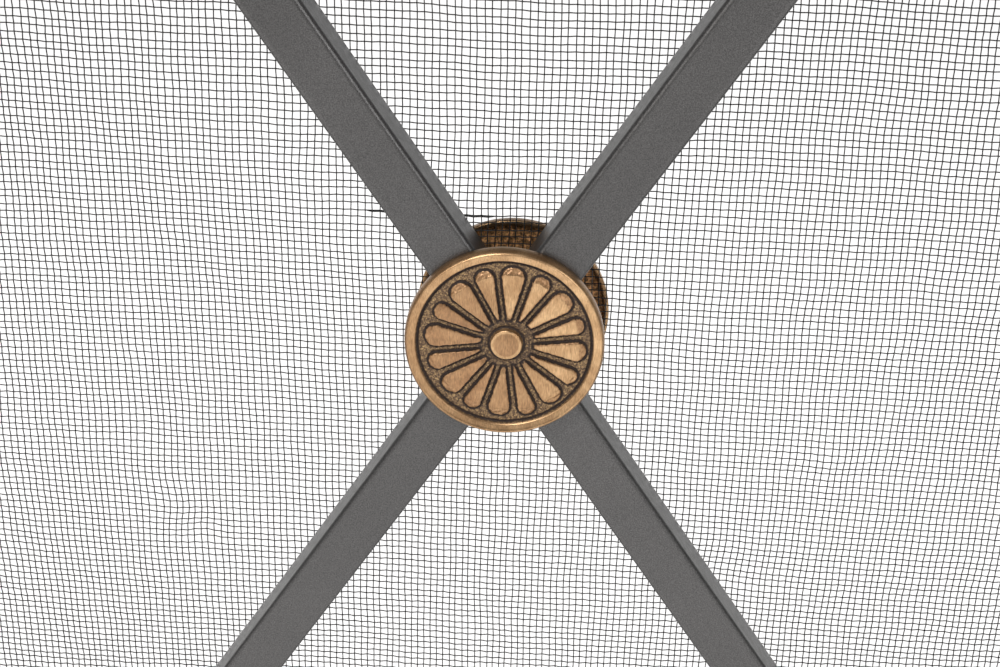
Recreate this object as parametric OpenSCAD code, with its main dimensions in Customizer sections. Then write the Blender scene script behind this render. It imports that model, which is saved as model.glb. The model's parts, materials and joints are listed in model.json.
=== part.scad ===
// Folding fireplace screen: a centre panel and two wings on butt hinges.
// Each panel is a mitred square-tube frame with two crossed bars, woven wire
// clamped behind the frame, and a cast rosette on each face of the crossing.
// X runs along the hearth, Y from the room towards the fire, and Z is up.

/* [Panels] */
// Outer width of the centre panel
centre_w = 508; // [400:1:700]
// Outer width of each wing
wing_w = 246; // [200:1:330]
// Height of the frames, without their feet
frame_h = 744; // [500:1:900]
// Angle that each wing is folded back from the flat
rest_fold = 35; // [20:1:60]

/* [Tube] */
// Side of the square tube
tube_side = 15.9; // [13:0.1:20]
// Wall of the tube
tube_wall = 1.2; // [0.8:0.1:2]
// Outer corner radius of the tube
tube_corner = 2.0; // [0.8:0.1:2.5]

/* [Wire cloth] */
// Thickness of the woven wire
cloth_t = 1.1; // [0.6:0.1:1.6]
// Distance from a clamp strip's outer edge to the edge of the cloth
cloth_setback = 0.5; // [0.2:0.1:1.5]
// Width of the strips that clamp the cloth
clamp_w = 8; // [6:0.1:10]
// Thickness of the clamp strips
clamp_t = 2; // [1.2:0.1:3]
// Largest distance between two clamp screws
clamp_pitch = 230; // [120:1:300]
// Distance from the frame's corner to the first clamp screw
clamp_end = 30; // [24:1:45]

/* [Rosettes] */
// Radius of a rosette at its back edge
rosette_r = 29.9; // [25:0.1:40]
// Height of a rosette from its back edge to the rim's ridge
rosette_h = 4.5; // [3.6:0.1:6]
// How far the ridge of the rim stands in from the back edge
ridge_in = 1.2; // [0.5:0.1:2]
// Width of the rim, from its ridge to the sunk field
rim_w = 2.25; // [1.5:0.05:3.5]
// Depth of the sunk field below the ridge
field_depth = 1.8; // [1.2:0.1:2]
// Height of the petals above the field
petal_h = 1.1; // [0.6:0.1:1.3]
// Half width of the broad petals near their outer end
broad_petal_r = 3.3; // [2.5:0.1:3.6]
// Half width of the slim petals near their outer end
slim_petal_r = 2.5; // [1.8:0.1:2.9]
// Radius of the centre button
button_r = 4.95; // [4:0.05:6]
// How far a rear casting sits to the right of its own bore
rear_drift = 1.5; // [0:0.1:2.5]
// Depth of the hollow in the back of a rosette
hollow_depth = 1.4; // [0.8:0.1:1.5]
// Width of the edge round that hollow
edge_w = 1.5; // [1:0.1:2.5]
// Length of the spacer between the cloth and the rear rosette
spacer_l = 4.4; // [2:0.1:8]
// Outer radius of that spacer
spacer_r = 6; // [4:0.1:8]
// Radius of the stud that joins the two rosettes
stud_r = 2.5; // [2:0.05:3]

/* [Hinges] */
// Height of a hinge
hinge_h = 50; // [40:1:75]
// Distance from the frame's top or bottom to the middle of a hinge
hinge_inset = 110; // [90:1:180]
// Thickness of a hinge leaf
leaf_t = 1.5; // [1.2:0.1:2]
// Outer radius of the hinge barrel
barrel_r = 4; // [3.4:0.1:4.8]
// Radius of the hinge pin
pin_r = 1.95; // [1.6:0.05:2.3]
// Distance between the screws of a leaf
leaf_screw_pitch = 15; // [12:0.5:18]

/* [Screws] */
// Radius of the screws' shanks
screw_r = 1.45; // [1.2:0.05:1.6]
// Radius of a screw's head
head_r = 2.8; // [2.3:0.1:3]
// Height of a clamp screw's head
head_h = 1.3; // [1:0.1:1.6]

/* [Feet] */
// Height of the feet
foot_h = 22; // [14:1:40]
// Radius of a foot
foot_r = 7.2; // [6:0.1:7.8]
// Radius of a foot's neck
foot_neck_r = 4.6; // [3.6:0.1:5.5]

/* [Clearances] */
// Radial clearance of a hinge pin in its knuckles
pin_fit = 0.05; // [0.02:0.01:0.1]
// Radial clearance of a screw or stud in the metal that holds it
thread_fit = 0.05; // [0.02:0.01:0.1]
// Radial clearance of a screw or stud in a plain hole
hole_gap = 0.2; // [0.1:0.05:0.5]
// Gap between the two leaves of a closed hinge
leaf_gap = 0.4; // [0.3:0.05:1]
// Gap between two knuckles, and between two clamp strips
end_gap = 0.4; // [0.3:0.05:0.8]
// Gap between the hinge barrel and the backs of the frames
barrel_gap = 0.5; // [0.4:0.1:1.5]

/* [Hidden] */
$fn = 64;

// Colours of the finishes
PAINT = [0.29, 0.28, 0.27];
WIRE = [0.12, 0.12, 0.12];
BRASS = [0.68, 0.52, 0.32];
STEEL = [0.22, 0.21, 0.2];

// How far a cutting shape runs past what it cuts
over = 1;
// Half the tube's side, which is also where the tube's faces lie
half_side = tube_side / 2;

// Layers behind the frame
cloth_back = half_side + cloth_t;
clamp_back = cloth_back + clamp_t;
rear_plane = cloth_back + spacer_l;

// Clamp strips run along the middle of the tubes
clamp_edge = half_side - clamp_w / 2;
clamp_screw_l = clamp_t + cloth_t + tube_wall + 3;

// The rosette, drawn with its back edge at z = 0
ridge_r = rosette_r - ridge_in;
field_r = ridge_r - rim_w;
field_z = rosette_h - field_depth;
ridge_flat = 0.5;
petal_count = 16;
petal_phase = 85;
petal_reach = field_r - 2.2;
petal_root_r = button_r + 2.4;
petal_root_half = 0.8;
button_z = rosette_h - 0.2;
boss_r = spacer_r;
stud_bite = field_z - 0.4;
stud_hole = stud_bite + 0.2;

// Hinge geometry: the axis stands behind the gap between two frames
panel_gap = 2 * leaf_t + leaf_gap;
axis_x = centre_w / 2 + panel_gap / 2;
axis_y = half_side + barrel_gap + barrel_r;
leaf_front = half_side - 1.5;
knuckle_h = (hinge_h - 2 * end_gap) / 3;
pin_head_r = barrel_r - 1;
pin_head_h = 1.2;
leaf_screw_l = leaf_t + tube_wall + 3;
countersink = leaf_t * 0.8;

// Feet stand under the stiles, on a stud through the bottom rail
foot_stud_r = 3;
foot_stud_l = tube_wall + 4;

// The origin is on the floor, in the middle of the whole screen's depth
wing_far = panel_gap / 2 + wing_w;
front_reach = half_side + rosette_h;
back_reach = max(
    turned_y(wing_far - tube_corner, half_side - tube_corner) + tube_corner,
    turned_y(wing_far - clamp_edge, clamp_back),
    turned_y(wing_far - half_side + head_r, clamp_back + head_h)
);
centre_y = (front_reach - back_reach) / 2;

// Depth reached by a wing's point at rest, from its distance along the wing
// past the hinge axis and its depth in the flat panel
function turned_y(along, depth) =
    axis_y + along * sin(rest_fold) + (depth - axis_y) * cos(rest_fold);

// Places of n clamp screws along an edge, measured from its middle
function screw_count(edge) = max(2, ceil((edge - 2 * clamp_end) / clamp_pitch) + 1);
function screw_places(edge) = [
    for (i = [0 : screw_count(edge) - 1])
        (i / (screw_count(edge) - 1) - 0.5) * (edge - 2 * clamp_end)
];

// ---- Tubes ----

module tube_outline() {
    square([tube_side, tube_side - 2 * tube_corner], center = true);
    square([tube_side - 2 * tube_corner, tube_side], center = true);
    for (x = [-1, 1], y = [-1, 1])
        translate([x, y] * (half_side - tube_corner))
            circle(r = tube_corner);
}

// Square tube along X, centred
module tube(length) {
    rotate([0, 90, 0])
        linear_extrude(height = length, center = true)
            difference() {
                tube_outline();
                square(tube_side - 2 * tube_wall, center = true);
            }
}

// Tube along X whose ends are cut at 45 degrees, with its long side down
module mitred_tube(length) {
    intersection() {
        tube(length);
        rotate([90, 0, 0])
            linear_extrude(height = tube_side + 2 * over, center = true)
                polygon([
                    [-length / 2, -half_side],
                    [length / 2, -half_side],
                    [length / 2 - tube_side, half_side],
                    [-length / 2 + tube_side, half_side]
                ]);
    }
}

// Holes for the clamp screws in the back walls of a frame
module clamp_holes(w, h, r) {
    for (side = [-1, 1]) {
        for (z = screw_places(h))
            translate([side * (w / 2 - half_side), 0, h / 2 + z])
                clamp_hole(r);
        for (x = screw_places(w))
            translate([x, 0, h / 2 + side * (h / 2 - half_side)])
                clamp_hole(r);
    }
}

module clamp_hole(r) {
    rotate([-90, 0, 0])
        cylinder(r = r, h = clamp_back + over);
}

module foot_stud_holes(w) {
    for (side = [-1, 1])
        translate([side * (w / 2 - half_side), 0, -over])
            cylinder(r = foot_stud_r + thread_fit, h = tube_wall + 2 * over);
}

module top_rail(w) {
    color(PAINT)
        difference() {
            translate([0, 0, frame_h - half_side])
                rotate([0, 180, 0])
                    mitred_tube(w);
            clamp_holes(w, frame_h, screw_r + thread_fit);
        }
}

module bottom_rail(w) {
    color(PAINT)
        difference() {
            translate([0, 0, half_side])
                mitred_tube(w);
            clamp_holes(w, frame_h, screw_r + thread_fit);
            foot_stud_holes(w);
        }
}

// Stile on one side of a frame; hinged says whether leaves are screwed to it
module stile(w, side, hinged) {
    color(PAINT)
        difference() {
            translate([side * (w / 2 - half_side), 0, frame_h / 2])
                rotate([0, -90 * side, 0])
                    mitred_tube(frame_h);
            clamp_holes(w, frame_h, screw_r + thread_fit);
            if (hinged)
                translate([side * w / 2, 0, 0])
                    for (z = hinge_heights)
                        leaf_screw_places(z)
                            rotate([0, 90, 0])
                                cylinder(r = screw_r + thread_fit,
                                         h = 2 * (tube_wall + over), center = true);
        }
}

// ---- Crossed bars ----

// What lies inside a frame
module frame_opening(w) {
    cube([w - 2 * tube_side, tube_side + 2 * over, frame_h - 2 * tube_side], center = true);
}

// Slope of the bars, from inner corner to inner corner
function bar_slope(w) = atan2(frame_h - 2 * tube_side, w - 2 * tube_side);

// Bar from the upper left inner corner to the lower right one
module through_bar(w) {
    color(PAINT)
        translate([0, 0, frame_h / 2])
            difference() {
                intersection() {
                    rotate([0, bar_slope(w), 0])
                        tube(w + frame_h);
                    frame_opening(w);
                }
                rotate([90, 0, 0])
                    cylinder(r = stud_r + hole_gap, h = tube_side + 2 * over, center = true);
            }
}

// Half of the other diagonal, welded to the upper (1) or lower (-1) side
module half_bar(w, side) {
    reach = w + frame_h;
    color(PAINT)
        translate([0, 0, frame_h / 2])
            intersection() {
                rotate([0, -bar_slope(w), 0])
                    tube(reach);
                frame_opening(w);
                rotate([0, bar_slope(w), 0])
                    translate([0, 0, side * (half_side + reach / 2)])
                        cube([reach, tube_side + 2 * over, reach], center = true);
            }
}

// ---- Wire cloth and its clamps ----

module wire_cloth(w) {
    edge = clamp_edge + cloth_setback;
    color(WIRE)
        difference() {
            translate([-w / 2 + edge, half_side, edge])
                cube([w - 2 * edge, cloth_t, frame_h - 2 * edge]);
            clamp_holes(w, frame_h, screw_r + hole_gap);
            translate([0, half_side - over, frame_h / 2])
                rotate([-90, 0, 0])
                    cylinder(r = stud_r + hole_gap, h = cloth_t + 2 * over);
        }
}

module clamp_strips(w) {
    upright_l = frame_h - 2 * clamp_edge;
    level_l = w - 2 * (clamp_edge + clamp_w + end_gap);
    color(PAINT)
        difference() {
            for (side = [-1, 1]) {
                translate([side * (w / 2 - half_side), cloth_back + clamp_t / 2, frame_h / 2])
                    cube([clamp_w, clamp_t, upright_l], center = true);
                translate([0, cloth_back + clamp_t / 2,
                           frame_h / 2 + side * (frame_h / 2 - half_side)])
                    cube([level_l, clamp_t, clamp_w], center = true);
            }
            clamp_holes(w, frame_h, screw_r + hole_gap);
        }
}

// Pan-head screw along -Y, with the underside of its head at the origin
module clamp_screw() {
    rotate([-90, 0, 0]) {
        translate([0, 0, -clamp_screw_l])
            cylinder(r = screw_r, h = clamp_screw_l);
        rotate_extrude()
            polygon([[0, 0], [head_r, 0], [head_r, head_h / 2], [head_r / 2, head_h], [0, head_h]]);
    }
}

module clamp_screws(w) {
    color(STEEL)
        for (side = [-1, 1]) {
            for (z = screw_places(frame_h))
                translate([side * (w / 2 - half_side), clamp_back, frame_h / 2 + z])
                    clamp_screw();
            for (x = screw_places(w))
                translate([x, clamp_back, frame_h / 2 + side * (frame_h / 2 - half_side)])
                    clamp_screw();
        }
}

// ---- Rosettes ----

module petal_outline(end_r) {
    end_x = petal_reach - end_r;
    polygon([
        [petal_root_r, -petal_root_half],
        [end_x, -end_r],
        [end_x, end_r],
        [petal_root_r, petal_root_half]
    ]);
    translate([end_x, 0])
        circle(r = end_r);
    translate([petal_root_r, 0])
        circle(r = petal_root_half);
}

// Cast rosette facing +Z, with broad and slim petals in turn. The drift moves the casting
// to the right, and leaves its boss and bore on the axis.
module rosette(drift = 0) {
    color(BRASS)
        difference() {
            translate([drift, 0, 0]) {
                rotate_extrude()
                    polygon([
                        [0, 0],
                        [rosette_r, 0],
                        [rosette_r, rosette_h / 2],
                        [ridge_r, rosette_h],
                        [ridge_r - ridge_flat, rosette_h],
                        [field_r, rosette_h - field_depth / 2],
                        [field_r, field_z],
                        [0, field_z]
                    ]);
                cylinder(r = button_r, h = button_z);
                for (i = [0 : petal_count - 1])
                    rotate([0, 0, petal_phase + i * 360 / petal_count])
                        translate([0, 0, field_z - hollow_depth / 2])
                            linear_extrude(height = hollow_depth / 2 + petal_h)
                                petal_outline(i % 2 == 0 ? broad_petal_r : slim_petal_r);
            }
            difference() {
                translate([drift, 0, -over])
                    cylinder(r = rosette_r - edge_w, h = hollow_depth + over);
                translate([0, 0, -over])
                    cylinder(r = boss_r, h = hollow_depth + over);
            }
            translate([0, 0, -over])
                cylinder(r = stud_r + thread_fit, h = stud_hole + over);
        }
}

module front_rosette() {
    translate([0, -half_side, frame_h / 2])
        rotate([90, 0, 0])
            rosette();
}

module rear_rosette() {
    translate([0, rear_plane, frame_h / 2])
        rotate([-90, 0, 0])
            rosette(rear_drift);
}

module rosette_spacer() {
    color(STEEL)
        translate([0, cloth_back, frame_h / 2])
            rotate([-90, 0, 0])
                difference() {
                    cylinder(r = spacer_r, h = spacer_l);
                    translate([0, 0, -over])
                        cylinder(r = stud_r + hole_gap, h = spacer_l + 2 * over);
                }
}

module rosette_stud() {
    color(STEEL)
        translate([0, -half_side - stud_bite, frame_h / 2])
            rotate([-90, 0, 0])
                cylinder(r = stud_r, h = half_side + rear_plane + 2 * stud_bite);
}

// ---- Feet ----

// Turned foot that stands on z = -foot_h and meets the frame at z = 0
module foot() {
    rotate_extrude()
        polygon([
            [0, -foot_h],
            [foot_r * 0.86, -foot_h],
            [foot_r, -foot_h * 0.94],
            [foot_r, -foot_h * 0.76],
            [foot_neck_r, -foot_h * 0.56],
            [foot_neck_r, -foot_h * 0.3],
            [foot_r * 0.94, -foot_h * 0.16],
            [foot_r * 0.94, 0],
            [foot_stud_r, 0],
            [foot_stud_r, foot_stud_l],
            [0, foot_stud_l]
        ]);
}

module feet(w) {
    color(BRASS)
        for (side = [-1, 1])
            translate([side * (w / 2 - half_side), 0, 0])
                foot();
}

// ---- Hinges, drawn round their own axis on the right of the centre panel ----

hinge_heights = [hinge_inset, frame_h - hinge_inset];

module leaf_screw_places(z) {
    for (i = [-1 : 1])
        translate([0, 0, z + i * leaf_screw_pitch])
            children();
}

// Countersunk screw along -X, with its head's face at x = 0
module leaf_screw() {
    rotate([0, 90, 0])
        rotate_extrude()
            polygon([
                [0, -leaf_screw_l],
                [screw_r, -leaf_screw_l],
                [screw_r, -countersink],
                [head_r, 0],
                [0, 0]
            ]);
}

// The hole that such a screw needs
module leaf_screw_hole() {
    rotate([0, 90, 0])
        rotate_extrude()
            polygon([
                [0, -leaf_t - over],
                [screw_r + hole_gap, -leaf_t - over],
                [screw_r + hole_gap, -countersink],
                [head_r + hole_gap, 0],
                [head_r + hole_gap, over],
                [0, over]
            ]);
}

// Leaf on the left of the axis, with knuckles in the given rows from the bottom
module leaf(rows) {
    plate_back = -(barrel_r + barrel_gap);
    color(STEEL)
        difference() {
            union() {
                translate([-leaf_gap / 2 - leaf_t, -axis_y - leaf_front, -hinge_h / 2])
                    cube([leaf_t, axis_y + leaf_front + plate_back, hinge_h]);
                for (row = rows)
                    translate([0, 0, row * (knuckle_h + end_gap) - hinge_h / 2]) {
                        cylinder(r = barrel_r, h = knuckle_h);
                        translate([-leaf_gap / 2 - leaf_t, plate_back, 0])
                            cube([leaf_t, -plate_back, knuckle_h]);
                    }
            }
            cylinder(r = pin_r + pin_fit, h = hinge_h + 2 * over, center = true);
            translate([-leaf_gap / 2, -axis_y, 0])
                leaf_screw_places(0)
                    leaf_screw_hole();
        }
}

module hinge_pin() {
    color(STEEL) {
        cylinder(r = pin_r, h = hinge_h, center = true);
        for (side = [-1, 1])
            translate([0, 0, side * (hinge_h + pin_head_h) / 2])
                cylinder(r = pin_head_r, h = pin_head_h, center = true);
    }
}

module leaf_screws() {
    color(STEEL)
        translate([-leaf_gap / 2, -axis_y, 0])
            leaf_screw_places(0)
                leaf_screw();
}

// ---- Places ----

// The centre panel stands on its feet, across the front of the origin
module centre() {
    translate([0, centre_y, foot_h])
        children();
}

// A wing's panel, turned back about the hinge axis; side is 1 for the right
module wing(side) {
    centre()
        mirror([side < 0 ? 1 : 0, 0, 0])
            translate([axis_x, axis_y, 0])
                rotate([0, 0, rest_fold])
                    translate([(panel_gap + wing_w) / 2, -axis_y, 0])
                        children();
}

// Hinge parts that stay with the centre panel; level is 0 low or 1 high
module hinge_on_centre(side, level) {
    centre()
        mirror([side < 0 ? 1 : 0, 0, 0])
            translate([axis_x, axis_y, hinge_heights[level]])
                children();
}

// Hinge parts that turn with a wing: the same leaf seen from the other side
module hinge_on_wing(side, level) {
    hinge_on_centre(side, level)
        rotate([0, 0, rest_fold])
            mirror([1, 0, 0])
                children();
}

module centre_hinge_screws() {
    for (side = [-1, 1], level = [0, 1])
        hinge_on_centre(side, level)
            leaf_screws();
}

module wing_hinge_screws(side) {
    for (level = [0, 1])
        hinge_on_wing(side, level)
            leaf_screws();
}

centre() top_rail(centre_w);  // centre_top_rail
centre() bottom_rail(centre_w);  // centre_bottom_rail
centre() stile(centre_w, -1, true);  // centre_left_stile
centre() stile(centre_w, 1, true);  // centre_right_stile
centre() through_bar(centre_w);  // centre_through_bar
centre() half_bar(centre_w, 1);  // centre_upper_half_bar
centre() half_bar(centre_w, -1);  // centre_lower_half_bar
centre() wire_cloth(centre_w);  // centre_wire_cloth
centre() clamp_strips(centre_w);  // centre_clamp_strips
centre() clamp_screws(centre_w);  // centre_clamp_screws
centre() front_rosette();  // centre_front_rosette
centre() rear_rosette();  // centre_rear_rosette
centre() rosette_spacer();  // centre_rosette_spacer
centre() rosette_stud();  // centre_rosette_stud
centre() feet(centre_w);  // centre_feet

wing(-1) top_rail(wing_w);  // left_wing_top_rail
wing(-1) bottom_rail(wing_w);  // left_wing_bottom_rail
wing(-1) stile(wing_w, 1, false);  // left_wing_outer_stile
wing(-1) stile(wing_w, -1, true);  // left_wing_hinge_stile
wing(-1) through_bar(wing_w);  // left_wing_through_bar
wing(-1) half_bar(wing_w, 1);  // left_wing_upper_half_bar
wing(-1) half_bar(wing_w, -1);  // left_wing_lower_half_bar
wing(-1) wire_cloth(wing_w);  // left_wing_wire_cloth
wing(-1) clamp_strips(wing_w);  // left_wing_clamp_strips
wing(-1) clamp_screws(wing_w);  // left_wing_clamp_screws
wing(-1) front_rosette();  // left_wing_front_rosette
wing(-1) rear_rosette();  // left_wing_rear_rosette
wing(-1) rosette_spacer();  // left_wing_rosette_spacer
wing(-1) rosette_stud();  // left_wing_rosette_stud
wing(-1) feet(wing_w);  // left_wing_feet

wing(1) top_rail(wing_w);  // right_wing_top_rail
wing(1) bottom_rail(wing_w);  // right_wing_bottom_rail
wing(1) stile(wing_w, 1, false);  // right_wing_outer_stile
wing(1) stile(wing_w, -1, true);  // right_wing_hinge_stile
wing(1) through_bar(wing_w);  // right_wing_through_bar
wing(1) half_bar(wing_w, 1);  // right_wing_upper_half_bar
wing(1) half_bar(wing_w, -1);  // right_wing_lower_half_bar
wing(1) wire_cloth(wing_w);  // right_wing_wire_cloth
wing(1) clamp_strips(wing_w);  // right_wing_clamp_strips
wing(1) clamp_screws(wing_w);  // right_wing_clamp_screws
wing(1) front_rosette();  // right_wing_front_rosette
wing(1) rear_rosette();  // right_wing_rear_rosette
wing(1) rosette_spacer();  // right_wing_rosette_spacer
wing(1) rosette_stud();  // right_wing_rosette_stud
wing(1) feet(wing_w);  // right_wing_feet

hinge_on_centre(-1, 1) leaf([0, 2]);  // left_upper_hinge_frame_leaf
hinge_on_wing(-1, 1) leaf([1]);  // left_upper_hinge_wing_leaf
hinge_on_centre(-1, 1) hinge_pin();  // left_upper_hinge_pin
hinge_on_centre(-1, 0) leaf([0, 2]);  // left_lower_hinge_frame_leaf
hinge_on_wing(-1, 0) leaf([1]);  // left_lower_hinge_wing_leaf
hinge_on_centre(-1, 0) hinge_pin();  // left_lower_hinge_pin
hinge_on_centre(1, 1) leaf([0, 2]);  // right_upper_hinge_frame_leaf
hinge_on_wing(1, 1) leaf([1]);  // right_upper_hinge_wing_leaf
hinge_on_centre(1, 1) hinge_pin();  // right_upper_hinge_pin
hinge_on_centre(1, 0) leaf([0, 2]);  // right_lower_hinge_frame_leaf
hinge_on_wing(1, 0) leaf([1]);  // right_lower_hinge_wing_leaf
hinge_on_centre(1, 0) hinge_pin();  // right_lower_hinge_pin
centre_hinge_screws();
wing_hinge_screws(-1);  // left_wing_hinge_screws
wing_hinge_screws(1);  // right_wing_hinge_screws
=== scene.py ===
# %% [markdown]
# # A folding fireplace screen
# The screen has a centre panel and two wings. Each panel is a frame of square tube with two
# crossed bars, black woven wire behind them, and a cast rosette on both faces of the crossing.
# The frame, hinges and screws are fixed solids that a CAD model already holds. This lesson
# loads them, gives them their finishes, and makes what CAD can't show: the weave of the
# wire, the hand-finished castings and the turned feet.
# Every size below comes from the loaded solids or is a named value in metres.

# %% Load the fixed solids
import json
from math import radians, tau

import bmesh
import bpy
import numpy as np
from mathutils import Matrix, Vector


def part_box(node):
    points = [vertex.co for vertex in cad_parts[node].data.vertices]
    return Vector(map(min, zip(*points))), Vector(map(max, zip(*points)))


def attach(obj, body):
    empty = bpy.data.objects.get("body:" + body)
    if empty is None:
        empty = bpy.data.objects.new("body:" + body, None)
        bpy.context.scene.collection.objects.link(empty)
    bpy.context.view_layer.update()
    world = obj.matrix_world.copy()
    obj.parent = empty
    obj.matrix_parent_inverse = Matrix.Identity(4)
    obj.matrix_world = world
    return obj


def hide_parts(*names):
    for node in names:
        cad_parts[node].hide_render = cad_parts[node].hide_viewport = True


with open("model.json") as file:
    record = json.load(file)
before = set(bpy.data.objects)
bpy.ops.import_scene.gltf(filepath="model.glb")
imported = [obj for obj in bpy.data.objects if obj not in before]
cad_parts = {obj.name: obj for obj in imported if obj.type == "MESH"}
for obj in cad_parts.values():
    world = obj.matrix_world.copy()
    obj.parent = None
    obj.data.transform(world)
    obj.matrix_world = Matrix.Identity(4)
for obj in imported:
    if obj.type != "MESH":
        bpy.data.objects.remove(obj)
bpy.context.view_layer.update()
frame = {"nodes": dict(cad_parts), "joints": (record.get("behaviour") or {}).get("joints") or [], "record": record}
MM = 0.001

# %% [markdown]
# ## Three panels, one local frame
# The wings stand at an angle, so modelling on them directly would be awkward. Each panel gets
# a matrix instead: its origin is the middle of the spacer behind the crossing, X runs along
# the panel and Y points to the fire. A piece is modelled once, flat, and then placed three
# times. The angle is the fold joint's own lower limit, because there the wings are in line.

# %% Panel places
PANELS = {"centre": "centre_panel", "left_wing": "left_wing", "right_wing": "right_wing"}
SIDES = {"centre": 0, "left_wing": -1, "right_wing": 1}
REST_FOLD = -radians(frame["joints"][0]["range_deg"][0])


def middle(node):
    low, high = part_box(node)
    return (low + high) / 2


def panel_matrix(panel):
    return (Matrix.Translation(middle(panel + "_rosette_spacer"))
            @ Matrix.Rotation(SIDES[panel] * REST_FOLD, 4, "Z"))


PLACE = {panel: panel_matrix(panel) for panel in PANELS}


def depths(node):
    """Front and back of one of the centre panel's nodes, from the panel's own origin."""
    low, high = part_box("centre_" + node)
    return low.y - PLACE["centre"].translation.y, high.y - PLACE["centre"].translation.y


CLOTH_FRONT, CLOTH_BACK = depths("wire_cloth")
TUBE_FRONT, TUBE_BACK = depths("through_bar")
FRONT_SEAT = depths("front_rosette")[1]
REAR_SEAT, REAR_FACE = depths("rear_rosette")
ROSETTE_H = REAR_FACE - REAR_SEAT
ROSETTE_R = (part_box("centre_front_rosette")[1].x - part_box("centre_front_rosette")[0].x) / 2
print(f"tube {1000 * (TUBE_BACK - TUBE_FRONT):.1f} mm, rosette {2000 * ROSETTE_R:.1f} mm across")

# %% [markdown]
# ## Helpers for nodes
# Materials and Geometry Nodes are both trees of nodes. `add` makes one node and plugs in its
# inputs in the same line, which keeps a tree readable from top to bottom.

# %% Node helpers
def add(tree, kind, inputs=None, **settings):
    node = tree.nodes.new(kind)
    for key, value in settings.items():
        setattr(node, key, value)
    for key, value in (inputs or {}).items():
        if isinstance(value, bpy.types.NodeSocket):
            tree.links.new(value, node.inputs[key])
        else:
            node.inputs[key].default_value = value
    return node


def maths(tree, kind, operation, *values):
    """One step of a Math or Vector Math node; the values are sockets or numbers."""
    node = add(tree, kind, dict(enumerate(values)), operation=operation)
    return node.outputs[0]


def material(name):
    made = bpy.data.materials.new(name)
    made.use_nodes = True
    return made, made.node_tree, made.node_tree.nodes["Principled BSDF"]


def noise(tree, vector, scale, detail=3.0, roughness=0.55):
    return add(tree, "ShaderNodeTexNoise",
               {"Vector": vector, "Scale": scale, "Detail": detail, "Roughness": roughness})


# %% Colour and bump helpers
def ramp(tree, factor, *stops):
    """A colour ramp; each stop is a position and a grey value or an RGB colour."""
    node = add(tree, "ShaderNodeValToRGB", {"Fac": factor})
    elements = node.color_ramp.elements
    while len(elements) < len(stops):
        elements.new(0.5)
    for element, (position, colour) in zip(elements, stops):
        element.position = position
        rgb = (colour,) * 3 if isinstance(colour, (int, float)) else colour
        element.color = (*rgb, 1.0)
    return node.outputs["Color"]


def mix(tree, factor, a, b, blend="MIX"):
    node = add(tree, "ShaderNodeMix", {"Factor": factor}, data_type="RGBA", blend_type=blend)
    for slot, value in ((6, a), (7, b)):
        if isinstance(value, bpy.types.NodeSocket):
            tree.links.new(value, node.inputs[slot])
        else:
            node.inputs[slot].default_value = (*value, 1.0)
    return node.outputs[2]


def bump(tree, height, strength, distance, normal=None):
    inputs = {"Height": height, "Strength": strength, "Distance": distance}
    if normal is not None:
        inputs["Normal"] = normal
    return add(tree, "ShaderNodeBump", inputs).outputs["Normal"]


# %% [markdown]
# ## The gunmetal powder coat
# Powder coat is baked-on plastic. Close up it has a fine sandy grain, and its colour drifts a
# little over a length of tube. Two noises of very different scale give both: the small one
# drives the bump and the speckle, the large one the drift. A picture of paint would tile and
# blur, while noise in object space stays sharp at any distance.

# %% Powder coat
def make_powder_coat():
    made, tree, shader = material("gunmetal_powder_coat")
    place = add(tree, "ShaderNodeTexCoord").outputs["Object"]
    grain = noise(tree, place, 2700.0, 2.0).outputs["Fac"]
    orange_peel = noise(tree, place, 420.0, 2.0).outputs["Fac"]
    drift = noise(tree, place, 14.0, 3.0).outputs["Fac"]
    base = ramp(tree, drift, (0.3, (0.066, 0.064, 0.063)), (0.7, (0.081, 0.078, 0.077)))
    speckle = ramp(tree, grain, (0.28, 0.50), (0.5, 0.97), (0.75, 1.55))
    tree.links.new(mix(tree, 1.0, base, speckle, "MULTIPLY"), shader.inputs["Base Color"])
    tree.links.new(ramp(tree, orange_peel, (0.3, 0.28), (0.7, 0.36)), shader.inputs["Roughness"])
    peel = bump(tree, orange_peel, 0.12, 0.0004)
    tree.links.new(bump(tree, grain, 0.30, 0.00012, peel), shader.inputs["Normal"])
    shader.inputs["Metallic"].default_value = 0.55
    shader.inputs["Specular IOR Level"].default_value = 0.6
    return made


POWDER_COAT = make_powder_coat()
print(POWDER_COAT.name, "has", len(POWDER_COAT.node_tree.nodes), "nodes")

# %% [markdown]
# ## Blackened steel and coated wire
# The hinges and screws are oil-rubbed: nearly black, with the steel showing through in
# brownish clouds. The wire is under half a millimetre thick, so its coat needs no grain, just
# slow changes in how black and how shiny it is, as on wire that has been drawn and dipped.

# %% Dark metals
def make_dark_metal(name, low, high, scale, metallic, rough):
    made, tree, shader = material(name)
    place = add(tree, "ShaderNodeTexCoord").outputs["Object"]
    cloud = noise(tree, place, scale, 4.0, 0.6).outputs["Fac"]
    fine = noise(tree, place, scale * 14, 2.0).outputs["Fac"]
    tree.links.new(ramp(tree, cloud, (0.32, low), (0.72, high)), shader.inputs["Base Color"])
    tree.links.new(ramp(tree, cloud, (0.3, rough[0]), (0.7, rough[1])), shader.inputs["Roughness"])
    tree.links.new(bump(tree, fine, 0.25, 0.00008), shader.inputs["Normal"])
    shader.inputs["Metallic"].default_value = metallic
    return made


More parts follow.
